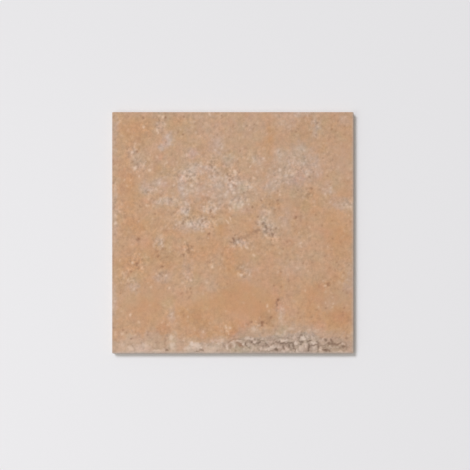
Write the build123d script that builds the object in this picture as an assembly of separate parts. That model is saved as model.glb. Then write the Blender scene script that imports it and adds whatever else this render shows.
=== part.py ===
from build123d import *

import os

# A square pressed porcelain floor tile with a flat worn face, eased arrises and a ribbed back.
# One fired piece. Millimetres. The origin is the centre of the plane that the rib tops lie in,
# +Z points out of the worn face and +Y towards the edge that is uppermost when the tile is seen
# with its crusted edge at the bottom.

# Overall size
side = 300.0  # from edge land to edge land, both ways
thickness = 9.5  # from the rib tops to the worn face

# Pressed edge, from the face down to the back
face_round = 0.8  # radius of the arris between the face and the edge land
corner_round = 1.2  # plan radius of the four corners
taper_height = 3.2  # the band next to the back that draws in, so neighbours never bind there
taper_inset = 0.7  # how far that band has drawn in where it meets the back
back_round = 0.35  # radius of the arris round the back

# Key pattern of the back: square cells pressed into it, with ribs left between them
cells_per_side = 16
rib_width = 2.8  # between the mouths of two cells
rim_width = 10.5  # plain border between the outer cells and the edge of the back
cell_depth = 0.75
cell_draft = 35.0  # degrees that a cell's walls lean outwards, so the punch lets go
cell_cut = 2.4  # how far each corner of a cell's mouth is cut off, along its walls

# Worked out from the sizes above
back_side = side - 2 * taper_inset
cell_pitch = (back_side - 2 * rim_width + rib_width) / cells_per_side
cell_side = cell_pitch - rib_width


def pressed_slab():
    """The plain slab: a vertical edge land, the drawn-in band below it and both arrises eased."""
    land = Plane.XY.offset(taper_height) * RectangleRounded(side, side, corner_round)
    foot = RectangleRounded(back_side, back_side, corner_round)
    slab = extrude(land, amount=thickness - taper_height) + loft([foot.face(), land.face()])
    slab = fillet(slab.faces().sort_by(Axis.Z)[-1].edges(), face_round)
    return fillet(slab.faces().sort_by(Axis.Z)[0].edges(), back_round)


def key_cell():
    """The space of one cell, with its mouth in the plane of the back and its walls drafted."""
    mouth = chamfer(Rectangle(cell_side, cell_side).vertices(), cell_cut)
    return extrude(mouth, amount=cell_depth, taper=cell_draft)


def tile_body():
    """The slab with the square grid of cells pressed into its back."""
    cell = key_cell()
    places = GridLocations(cell_pitch, cell_pitch, cells_per_side, cells_per_side)
    return pressed_slab() - [place * cell for place in places]


tile = tile_body()
tile.label = "tile"

os.makedirs("parts", exist_ok=True)
export_step(tile, "parts/tile.step")
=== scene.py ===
import math
import random

import bmesh
import bpy
import numpy as np
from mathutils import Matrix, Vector, noise


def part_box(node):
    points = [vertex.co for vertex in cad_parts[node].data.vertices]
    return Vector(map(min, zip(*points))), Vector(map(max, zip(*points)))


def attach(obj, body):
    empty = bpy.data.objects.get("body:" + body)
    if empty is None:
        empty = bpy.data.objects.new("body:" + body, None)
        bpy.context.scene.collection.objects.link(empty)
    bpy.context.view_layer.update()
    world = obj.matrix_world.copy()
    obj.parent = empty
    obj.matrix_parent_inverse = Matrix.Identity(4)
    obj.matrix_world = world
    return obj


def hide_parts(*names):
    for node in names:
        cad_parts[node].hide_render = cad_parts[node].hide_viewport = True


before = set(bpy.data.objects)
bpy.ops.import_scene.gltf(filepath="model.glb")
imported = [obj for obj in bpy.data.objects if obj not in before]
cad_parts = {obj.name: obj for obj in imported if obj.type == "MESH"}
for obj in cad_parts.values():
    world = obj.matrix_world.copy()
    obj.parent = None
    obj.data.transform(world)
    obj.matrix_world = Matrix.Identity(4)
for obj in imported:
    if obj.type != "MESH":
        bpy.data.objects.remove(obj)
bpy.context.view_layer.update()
mm = 0.001
tileLow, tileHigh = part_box("tile")
tileSide = (tileHigh[0] - tileLow[0]) / mm
tileThick = (tileHigh[2] - tileLow[2]) / mm
halfSide = tileSide / 2
print("frame loaded: tile of", round(tileSide, 1), "x", round(tileThick, 2), "mm")

# where the tile lies in the 470 x 470 photograph, which its marks and the camera are placed by
photo = {
    "pixels": 470,
    "tileCentre": (232.88, 232.77),
    "tileWidth": 241.5,
}
pixel = tileSide / photo["tileWidth"]  # millimetres on the face


def onFace(px, py):
    # a pixel of the photograph as millimetres from the middle of the face
    return (px - photo["tileCentre"][0]) * pixel, (photo["tileCentre"][1] - py) * pixel


# the pressed body, with the same sizes as the solid it stands for, in millimetres
tileForm = {
    "faceRound": 0.8,
    "cornerRound": 1.2,
    "leastRound": 0.05,  # of a corner that the arris has drawn in
    "taperHeight": 3.2,
    "taperInset": 0.7,
    "backRound": 0.35,
    "cellsPerSide": 16,
    "ribWidth": 2.8,
    "rimWidth": 10.5,
    "cellDepth": 0.75,
    "cellDraft": 35.0,
    "cellCut": 2.4,
    "gridPitch": 1.12,  # spacing of the mesh over the face
    "crustPitch": 0.74,  # along the crusted bottom edge
    "rimPitch": 0.4,  # next to the arris
    "crustReach": 24.0,
    "crustBlend": 6,  # how late the pitch of the crust gives way to that of the face
    "rimReach": 2.4,
    "pitchSamples": 12001,  # places at which the pitch is added up
    "arrisSteps": 4,
    "backRoundSteps": 2,
    "sharpFrom": 34.0,  # degrees between two faces from which their edge is sharp
}
faceReach = halfSide - tileForm["faceRound"]  # from the middle to where the arris starts

# marks of the worn clay: places are pixels of the photograph, sizes are millimetres on the face
# tones of the clay, each patch with its px, py, half width, half height and strength
clayTone = {
    # more orange than the clay round it
    "warm": [
        (135, 130, 20, 19, 0.62), (128, 196, 12, 26, 0.6), (157, 170, 6, 10, 0.5), (206, 201, 7, 7, 0.8),
        (133, 228, 18, 14, 0.5), (137, 262, 20, 15, 0.5), (220, 231, 9, 9, 0.68), (249, 226, 10, 9, 0.6),
        (230, 265, 8, 22, 0.7), (198, 256, 15, 16, 0.4), (250, 303, 32, 24, 0.75), (228, 300, 18, 18, 0.6),
        (198, 315, 28, 15, 0.8), (318, 292, 16, 16, 0.6), (340, 240, 16, 27, 0.75),
        (338, 318, 20, 14, 0.65), (145, 318, 24, 18, 0.4), (310, 206, 9, 12, 0.4), (275, 204, 9, 6, 0.35),
        (262, 146, 12, 10, 0.35), (225, 331, 24, 8, 0.55), (320, 318, 18, 9, 0.6), (150, 300, 24, 14, 0.25),
        (170, 233, 20, 8, 0.3), (125, 268, 14, 18, 0.5), (153, 249, 15, 13, 0.6), (281, 280, 13, 13, 0.45),
        (337, 277, 14, 11, 0.45), (168, 262, 12, 12, 0.3), (240, 256, 10, 12, 0.35), (210, 245, 13, 9, 0.4),
        (215, 302, 20, 12, 0.3), (264, 308, 15, 20, 0.6), (228, 252, 8, 16, 0.45), (143, 224, 24, 12, 0.3),
        (330, 224, 16, 20, 0.3), (270, 142, 6, 24, 0.9), (308, 304, 15, 16, 0.45), (126, 172, 9, 26, 0.3),
        (151, 121, 8, 10, 0.35), (205, 334, 14, 9, 0.6), (163, 333, 12, 9, 0.45), (124, 325, 12, 7, 0.3),
        (240, 326, 16, 8, 0.6), (264, 325, 10, 7, 0.3), (193, 122, 24, 12, 0.15), (258, 163, 9, 14, 0.2),
        (144, 281, 13, 12, 0.2),
    ],
    # lighter (+) or darker (-) than the clay round it
    "shade": [
        (167, 139, 6, 7, 0.45), (170, 122, 12, 7, 0.12), (184, 186, 6, 9, -0.35), (190, 173, 6, 6, -0.8),
        (199, 170, 5, 5, 0.3), (183, 208, 7, 6, 0.25), (207, 227, 7, 6, 0.6), (190, 224, 7, 5, -0.35),
        (163, 276, 8, 6, -0.6), (169, 203, 8, 5, 0.35), (349, 204, 8, 8, -0.35), (258, 158, 12, 5, -0.45),
        (291, 164, 9, 8, -0.5), (282, 170, 7, 6, -0.35), (268, 168, 5, 9, -0.35), (325, 191, 9, 6, 0.05),
        (192, 154, 6, 6, 0.05), (178, 196, 9, 8, 0.15), (173, 312, 6, 10, 0.1), (115, 214, 5, 12, 0.5),
        (205, 131, 20, 12, 0.1), (233, 192, 7, 9, -0.7), (238, 198, 8, 7, -0.45), (251, 187, 5, 5, 0.75),
        (213, 170, 6, 6, 0.6), (211, 207, 6, 6, 0.75), (227, 208, 6, 5, 0.4), (240, 208, 8, 5, 0.4),
        (268, 213, 6, 8, 0.45), (300, 240, 8, 7, 0.25), (115, 300, 5, 12, 0.35), (218, 146, 7, 9, -0.4),
        (272, 252, 8, 6, 0.2), (160, 240, 7, 5, 0.25), (245, 322, 6, 5, 0.25), (157, 167, 5, 8, -1.0),
        (141, 143, 7, 6, -0.7), (124, 192, 9, 10, -0.4), (165, 257, 11, 11, -0.95), (136, 264, 7, 7, -0.6),
        (190, 251, 6, 5, -0.2), (135, 240, 7, 5, -0.3), (235, 240, 8, 5, -1.6), (255, 232, 11, 5, -1.15),
        (268, 231, 8, 8, -1.25), (293, 183, 6, 6, -1.1), (298, 191, 8, 8, -0.95), (300, 203, 11, 11, -0.5),
        (309, 154, 5, 7, 0.3), (139, 165, 8, 8, -0.8), (189, 278, 7, 8, -0.4), (160, 132, 6, 7, -0.6),
        (231, 186, 6, 7, -0.75), (196, 178, 8, 6, -0.35), (290, 219, 6, 9, -0.45), (134, 286, 8, 8, -0.35),
        (212, 265, 6, 6, -0.45), (187, 156, 5, 5, -0.25), (264, 236, 5, 4, 0.3), (128, 150, 7, 6, -0.5),
        (351, 283, 5, 9, -0.4), (275, 211, 4, 4, -0.55), (244, 273, 8, 6, -0.4), (199, 324, 8, 6, -0.7),
        (277, 198, 8, 9, -0.7), (270, 182, 5, 7, -0.5), (314, 174, 5, 9, -0.6), (299, 130, 14, 16, -0.35),
        (333, 131, 11, 12, -0.3), (350, 122, 6, 10, -0.3), (205, 200, 6, 5, -1.0), (195, 205, 4, 5, -0.4),
        (300, 216, 7, 8, -0.8), (288, 243, 7, 6, -1.25), (264, 319, 10, 8, -1.55), (276, 302, 5, 8, -0.85),
        (196, 313, 6, 11, -1.05), (236, 334, 10, 6, -0.8), (232, 290, 12, 14, -0.35),
        (278, 278, 10, 6, -0.85), (318, 283, 11, 12, -0.38), (343, 317, 12, 10, -0.75),
        (164, 331, 8, 4, -1.05), (347, 292, 8, 8, -0.5), (236, 266, 10, 12, -0.3), (334, 348, 15, 4, -1.0),
        (284, 345, 9, 4, -0.15), (262, 342, 9, 5, -0.45), (280, 336, 13, 4, 1.05), (284, 330, 12, 4, 0.7),
        (262, 336, 10, 4, 0.65), (322, 336, 14, 4, 0.95), (344, 336, 9, 4, 0.75), (302, 336, 8, 4, -0.8),
        (203, 342, 13, 11, -0.62), (224, 349, 12, 5, -0.35), (145, 336, 13, 11, -0.48),
        (165, 325, 12, 8, 0.25), (306, 130, 24, 20, -0.32), (304, 154, 12, 14, -0.22),
        (344, 222, 12, 14, 0.6), (324, 222, 12, 10, 0.3), (164, 324, 13, 9, 0.2), (184, 119, 13, 9, 0.55),
        (184, 304, 13, 10, 0.4), (204, 304, 12, 9, 0.4), (242, 224, 14, 10, 0.35),
        (123, 283, 13, 12, -0.45), (284, 298, 12, 10, -0.35), (264, 258, 13, 9, -0.35),
        (284, 258, 13, 9, -0.35), (344, 262, 10, 11, -0.3), (124, 248, 10, 14, -0.25),
        (123, 118, 12, 8, 0.3), (164, 222, 13, 10, -0.25), (284, 160, 12, 26, -0.2),
        (304, 160, 13, 14, -0.3), (323, 303, 12, 10, -0.2), (284, 222, 12, 10, -0.25),
        (205, 329, 7, 5, -0.7), (335, 300, 22, 26, -0.35), (287, 322, 7, 7, 0.35),
    ],
    # pinker (+) or greener (-)
    "pink": [
        (123, 174, 6, 9, 1.2), (161, 157, 4, 4, 1.6), (147, 200, 6, 4, 1.3), (181, 178, 4, 5, 1.2),
        (167, 183, 7, 6, 0.8), (192, 154, 6, 8, 1.5), (164, 142, 6, 7, 0.8), (286, 139, 6, 9, 1.0),
        (299, 176, 7, 6, 1.3), (321, 178, 7, 6, 1.2), (205, 197, 8, 6, 1.5), (186, 248, 16, 6, 0.7),
        (142, 242, 8, 6, 1.2), (227, 231, 5, 7, 1.1), (246, 212, 10, 5, 0.7), (232, 251, 8, 6, 0.9),
        (262, 280, 14, 11, 0.9), (318, 326, 16, 9, 0.6), (256, 269, 8, 7, 1.0), (284, 304, 12, 12, 0.9),
        (324, 300, 13, 16, 0.7), (244, 322, 14, 8, 0.7), (324, 284, 13, 11, 0.7), (183, 150, 10, 22, 0.4),
        (284, 120, 13, 9, 0.7), (204, 122, 14, 10, 0.5), (224, 120, 14, 9, 0.4), (271, 262, 6, 12, 1.0),
        (286, 240, 9, 9, 1.1), (293, 213, 7, 6, 0.8), (326, 230, 12, 9, 0.7), (277, 296, 5, 16, 1.5),
        (291, 313, 6, 5, 1.2), (182, 293, 8, 6, 0.8), (166, 330, 9, 6, 1.4), (232, 335, 9, 8, 1.0),
        (246, 324, 6, 6, 1.0), (318, 328, 12, 8, 1.2), (340, 315, 12, 8, 1.2), (350, 290, 6, 9, 1.2),
        (246, 314, 34, 8, 0.15), (328, 270, 6, 6, 0.9), (196, 142, 12, 7, -1.0), (130, 205, 8, 20, 0.1),
        (148, 312, 12, 8, 0.5), (166, 120, 8, 12, -1.2), (181, 134, 7, 12, -1.0), (190, 124, 7, 7, -0.6),
        (240, 130, 7, 6, -1.2), (258, 137, 6, 6, -1.3), (273, 130, 6, 10, -0.7), (321, 128, 8, 12, -1.2),
        (338, 136, 6, 8, -0.9), (160, 170, 7, 10, -1.0), (180, 166, 7, 6, -0.7), (231, 156, 8, 6, -1.0),
        (246, 160, 10, 6, -0.7), (243, 188, 6, 8, -2.0), (238, 205, 8, 6, -2.0), (294, 194, 5, 7, -1.4),
        (306, 205, 10, 6, -0.9), (152, 218, 7, 7, -1.2), (150, 194, 8, 6, -0.6), (165, 200, 8, 5, -0.8),
        (191, 211, 7, 8, -0.9), (146, 260, 7, 6, -1.2), (168, 248, 5, 10, -1.1), (195, 279, 6, 12, -0.9),
        (168, 302, 7, 9, -1.2), (204, 296, 14, 6, -0.9), (206, 310, 22, 5, -0.5), (257, 259, 6, 5, -0.9),
        (312, 275, 12, 8, -0.7), (330, 291, 12, 6, -0.7), (283, 331, 9, 7, -1.5), (214, 346, 9, 4, -1.1),
        (217, 340, 9, 3, 1.1), (136, 339, 9, 4, 1.0), (172, 342, 4, 8, -1.2), (157, 350, 7, 3, -1.0),
        (243, 348, 9, 4, -0.8), (240, 331, 10, 6, 0.8), (237, 349.5, 15, 3.5, -1.3), (142, 350, 12, 4, 0.8),
        (304, 203, 12, 10, -0.9), (304, 157, 16, 15, -0.5), (124, 120, 11, 9, -0.4),
        (224, 184, 12, 10, 0.4), (243, 205, 12, 10, -0.3), (344, 228, 10, 16, -0.3),
        (224, 224, 12, 9, -0.4), (204, 304, 12, 9, -0.5), (126, 244, 11, 9, 0.5), (270, 164, 12, 10, 0.3),
        (330, 176, 9, 6, -0.7), (336, 187, 9, 6, -0.8), (320, 192, 8, 6, -0.6), (135, 277, 9, 9, -0.7),
        (280, 169, 9, 7, -0.7), (252, 150, 12, 6, -0.5), (259, 160, 6, 5, -0.6), (264, 222, 6, 9, -0.9),
        (191, 222, 10, 6, -0.8), (351, 160, 6, 9, -0.6), (268, 290, 110, 62, 0.24),
        (304, 136, 26, 18, -0.2),
    ],
}

# veil of salt that has come out of the clay, its patches written in the same way
saltBloom = {
    "patches": [
        (186, 172, 9, 8, 0.6), (183, 190, 8, 16, 0.8), (185, 209, 7, 9, 0.85), (198, 168, 13, 8, 0.75),
        (190, 226, 19, 7, 0.72), (202, 222, 9, 8, 0.55), (240, 185, 14, 9, 0.64), (240, 203, 14, 10, 0.62),
        (222, 192, 20, 18, 0.6), (210, 207, 11, 8, 0.55), (196, 190, 12, 12, 0.45),
        (218, 146, 10, 14, 0.65), (229, 160, 10, 8, 0.5), (303, 163, 24, 19, 0.58), (292, 180, 22, 10, 0.6),
        (284, 160, 10, 11, 0.5), (300, 147, 10, 8, 0.55), (280, 151, 8, 6, 0.5), (271, 185, 10, 9, 0.55),
        (258, 160, 8, 6, 0.46), (316, 128, 6, 12, 0.65), (345, 120, 10, 8, 0.4), (168, 139, 7, 8, 1.0),
        (162, 147, 6, 5, 0.85), (181, 183, 4, 9, 0.8), (160, 127, 6, 8, 0.4), (192, 153, 7, 7, 0.6),
        (139, 163, 9, 12, 0.44), (133, 152, 6, 6, 0.35), (148, 188, 10, 7, 0.58), (160, 183, 12, 6, 0.55),
        (165, 201, 14, 6, 0.7), (265, 221, 9, 15, 0.65), (274, 229, 8, 9, 0.42), (286, 220, 8, 13, 0.44),
        (241, 243, 12, 5, 0.65), (232, 237, 6, 5, 0.15), (328, 190, 8, 8, 0.55), (346, 206, 12, 8, 0.5),
        (338, 201, 12, 7, 0.42), (248, 271, 10, 12, 0.44), (292, 268, 20, 16, 0.28),
        (350, 280, 7, 18, 0.42), (134, 286, 9, 7, 0.48), (163, 276, 11, 7, 0.55), (160, 243, 5, 8, 0.5),
        (188, 272, 8, 15, 0.4), (210, 284, 12, 13, 0.25), (281.5, 313, 5, 14, 0.42), (330, 305, 9, 7, 0.16),
        (172, 315, 5, 10, 0.45), (245, 125, 26, 14, 0.3), (204, 125, 22, 14, 0.3), (286, 121, 14, 10, 0.4),
        (300, 242, 9, 9, 0.3), (114, 140, 4, 26, 0.5), (114, 215, 4, 40, 0.5), (114, 305, 4, 30, 0.5),
        (230, 172, 110, 50, 0.22), (302, 114, 12, 4, 0.5), (340, 160, 16, 24, 0.25), (213, 171, 9, 7, 0.6),
        (218, 181, 13, 8, 0.45), (314, 166, 10, 15, 0.42), (115, 121, 5, 10, 0.5), (180, 115, 60, 4, 0.22),
        (290, 115, 50, 4, 0.2), (155, 187, 16, 8, 0.4), (276, 172, 10, 10, 0.4), (258, 190, 14, 12, 0.3),
        (204, 333, 4, 8, 0.22),
    ],
    "thickness": 0.95,
    "ragged": 0.08,  # how uneven the veil is
    "raggedSize": 6.0,
    "fineRagged": 0.06,
    "fineSize": 2.6,
    "inGrain": 0.3,  # salt caught in coarse grain outside the patches
}

# how coarse the grain of the clay is: low where it is worn smooth
clayGrain = {
    "usual": 0.46,  # outside the patches
    "least": 0.08,
    "coarse": [
        (130, 150, 10, 9, 0.32), (140, 165, 12, 10, 0.4), (160, 123, 8, 14, 0.35), (148, 130, 9, 8, 0.15),
        (186, 155, 8, 7, 0.35), (190, 176, 15, 12, 0.55), (213, 165, 10, 12, 0.4), (232, 178, 8, 16, 0.7),
        (250, 186, 8, 9, 0.45), (214, 184, 10, 9, 0.3), (170, 200, 16, 9, 0.3), (185, 214, 14, 14, 0.45),
        (210, 206, 12, 9, 0.45), (203, 222, 20, 9, 0.5), (240, 203, 14, 9, 0.4), (262, 225, 12, 11, 0.5),
        (272, 236, 9, 9, 0.5), (240, 242, 14, 8, 0.62), (188, 250, 9, 8, 0.6), (211, 265, 6, 6, 0.4),
        (243, 273, 9, 7, 0.6), (136, 263, 12, 10, 0.55), (136, 240, 7, 7, 0.15), (160, 243, 7, 12, 0.35),
        (162, 268, 6, 12, 0.2), (188, 278, 9, 14, 0.25), (130, 280, 12, 10, 0.25), (298, 168, 17, 12, 0.36),
        (282, 180, 12, 9, 0.25), (309, 195, 8, 7, 0.35), (350, 204, 7, 9, 0.5), (326, 285, 7, 7, 0.35),
        (277, 302, 9, 10, 0.3), (258, 325, 12, 8, 0.45), (168, 315, 7, 12, 0.25), (150, 190, 12, 8, 0.3),
        (268, 205, 12, 10, 0.25), (115, 195, 4, 34, 0.25), (142, 120, 12, 9, 0.15), (225, 328, 8, 8, 0.3),
        (251, 158, 14, 7, 0.25), (280, 165, 9, 9, 0.08), (173, 172, 9, 9, 0.2), (172, 224, 9, 7, 0.2),
        (318, 123, 9, 9, 0.15), (120, 212, 9, 26, 0.15), (120, 120, 8, 10, 0.15), (121, 275, 8, 12, 0.12),
        (185, 120, 30, 8, 0.08),
    ],
    "smooth": [
        (345, 155, 14, 24, 0.27), (292, 204, 8, 12, 0.24), (250, 300, 36, 30, 0.32),
        (145, 305, 26, 14, 0.3), (205, 303, 26, 10, 0.24), (335, 232, 20, 24, 0.18),
        (250, 141, 18, 9, 0.16), (124, 196, 8, 8, 0.15), (250, 256, 14, 9, 0.15), (252, 224, 9, 6, 0.25),
        (222, 229, 8, 6, 0.22), (336, 302, 20, 26, 0.18), (345, 190, 12, 12, 0.15), (320, 295, 8, 10, 0.15),
        (178, 320, 40, 9, 0.1), (276, 139, 9, 8, 0.12), (309, 139, 9, 8, 0.12), (156, 292, 13, 10, 0.18),
        (309, 292, 9, 14, 0.15), (326, 270, 9, 8, 0.14), (147, 248, 9, 9, 0.1), (282, 256, 10, 8, 0.06),
    ],
}

# dark hollows: width, how dark, and where each is
pits = {
    "bold": {
        "across": 3.8, "dark": 0.9,
        "at": [
            (263.3, 223.7), (266.5, 227.8), (273, 235), (233.3, 239.6), (136.8, 264), (278, 300),
            (261.8, 323), (328, 284.3),
        ],
    },
    "deep": {
        "across": 3.1, "dark": 0.8,
        "at": [
            (183.5, 255), (138.3, 239.2), (262, 325.5), (158.5, 256), (162.7, 266.5), (143, 118),
            (235, 235.5), (271, 317.5), (301, 335), (210.5, 210.4), (165.7, 117.5), (183, 134.4),
            (261.5, 200.5), (209, 234), (166, 350), (276.5, 228.5), (296, 217.5),
        ],
    },
    "clear": {
        "across": 2.7, "dark": 0.66,
        "at": [
            (222, 116), (184.4, 116.6), (296, 131.5), (332, 129.5), (137, 151.5), (137, 164.5),
            (238.7, 172.5), (230, 180), (309.5, 177), (313.5, 172), (311.5, 188.5), (244, 192.5),
            (277.5, 200.5), (252.5, 207.4), (257.8, 217), (183, 223), (271, 230), (255, 231),
            (239.6, 242.4), (274, 285.5), (190.5, 288.5), (251.5, 322), (131.6, 338), (123, 330),
        ],
    },
    "small": {
        "across": 2.2, "dark": 0.5,
        "at": [
            (165, 113), (133, 132), (178, 132), (139, 158), (139, 149), (114, 164), (180, 168), (197, 134),
            (217, 135), (215, 126), (229, 137), (247, 126), (254, 125), (233, 126), (240, 151), (245, 137),
            (218, 157), (223, 164), (212, 177), (199.6, 208.7), (139, 219), (138, 210), (125, 217),
            (155, 214), (139, 268), (179, 229), (192, 232), (184, 245), (309, 116), (304, 118), (317, 123),
            (345, 126), (338, 121), (336, 131), (335, 137), (311, 132), (316, 135), (280, 152), (303, 155),
            (323, 158), (328, 176), (330, 184), (278, 204), (296, 192), (293, 227), (316, 215), (322, 226),
            (347, 225), (281, 231), (333, 239), (345, 242), (287, 242), (283, 249), (325, 256), (303, 263),
            (313, 256), (290, 260), (337, 262), (349, 265), (344, 273), (335, 271), (281, 272), (289, 281),
            (258, 280), (217, 284), (227, 284), (281, 287), (343, 291), (347, 293), (181, 294), (260, 302),
            (316, 310), (326, 308), (344, 308), (343, 312), (300, 318), (261, 317), (247, 324), (209, 325),
            (156, 342), (120, 293), (183, 342), (148, 335), (141, 343), (133, 346), (114.8, 199.6),
            (135.3, 228.7), (120.7, 209.6), (139.8, 205.5), (165.7, 248.7), (170.7, 215.5), (134.8, 252.4),
            (192.5, 228.7), (213.3, 227), (232.4, 196.5), (216, 196), (250.5, 213.3), (231.5, 216),
            (195, 202.4), (114.8, 139.8), (166, 142.5), (299, 125.5), (298.5, 173), (298, 190), (275, 210),
            (269, 196), (185.5, 279), (184, 275), (298, 313), (346.5, 338), (301.5, 332), (314, 165.5),
            (189.5, 170.7), (187, 176.5), (332, 221), (188, 209.6), (126.5, 333), (278, 191), (276.5, 305),
        ],
    },
}

# pale grains of salt and lime: width, how light, and where each is
saltGrains = {
    "chips": {
        "across": 4.3, "light": 1.1,
        "at": [(235, 172), (212.4, 266.6), (134.8, 168.5), (230.6, 186)],
    },
    "bright": {
        "across": 3.2, "light": 1.0,
        "at": [
            (241, 275), (143.5, 126.8), (130.5, 315), (247.4, 247.4), (209.5, 113.3), (162.7, 117.2),
            (209.6, 114.6), (234, 192.8), (115, 223.3), (149.7, 170.2), (191.5, 185.5), (190.5, 224.5),
            (242.2, 205.2), (192.8, 178),
        ],
    },
    "clear": {
        "across": 2.9, "light": 0.82,
        "at": [
            (186.6, 155.3), (188, 223.7), (197.8, 225), (325, 286), (267.5, 305.7), (230, 328), (165, 124),
            (132, 152.5), (139, 176), (159.6, 182.8), (174, 185.2), (185, 172), (236.5, 183.4), (252, 187),
            (250.3, 166.8), (253.5, 177.8), (280, 170), (280, 195), (146.4, 205.7), (183.5, 211.4),
            (202, 231), (253.8, 255.3), (169, 288), (165.8, 275), (128, 280), (301.2, 242.5), (226, 327.3),
            (132.5, 262.8), (230, 209), (264, 158.5), (181.5, 178.6),
        ],
    },
    "pale": {
        "across": 2.6, "light": 0.58,
        "at": [
            (150, 155.6), (157, 157), (124, 180), (127, 186), (201, 163), (215, 167), (214, 172),
            (243, 157), (248, 158), (268, 177), (276, 181), (293, 163), (301, 177.5), (309, 171),
            (311, 195), (325, 194), (153, 206), (149, 199), (139, 221), (188, 215), (208, 238), (235, 204),
            (282, 225.5), (188, 317), (151, 287), (191, 280), (124, 278), (301, 247), (302, 257),
            (308, 271), (333, 297), (318, 307), (333.5, 303.5), (325.5, 302.5), (332, 307), (269, 311),
            (258, 325), (253, 327), (328, 247), (352, 203), (351, 207), (349, 215), (139, 322),
            (148, 190.5), (156.6, 189.6), (167, 203.3), (171.6, 205.5), (182, 188.7), (187, 194),
            (179.8, 222.4), (176, 225), (169, 228.7), (139.4, 254.2), (142, 267.8), (119.8, 260.5),
            (169.8, 251.5), (184.8, 242), (184.8, 249.6), (153, 218.5), (226, 195), (238.3, 206.5),
            (230.5, 202), (208.3, 212.8), (215, 209.6), (192.4, 220), (204, 222.4), (213.3, 222.4),
            (217, 224.6), (195, 228.7), (262.4, 199.2), (269, 212.4), (263.3, 217.8), (237.8, 242),
            (251.5, 249.6), (248.7, 204.2), (330.5, 202), (279.5, 253), (299, 233), (201, 166),
            (200.5, 171), (222, 147.5), (208.7, 191.5), (180.3, 129.8), (161.6, 145.3), (167.5, 137),
            (306, 160), (290, 170), (318, 126.5), (330.5, 188), (156, 274), (238, 274), (249.5, 274.5),
            (114.5, 301), (171.5, 314), (171.5, 317.5), (162, 322.5), (134, 289), (203, 332), (279.5, 318),
            (305, 290.5), (291, 328.5),
        ],
    },
}

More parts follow.
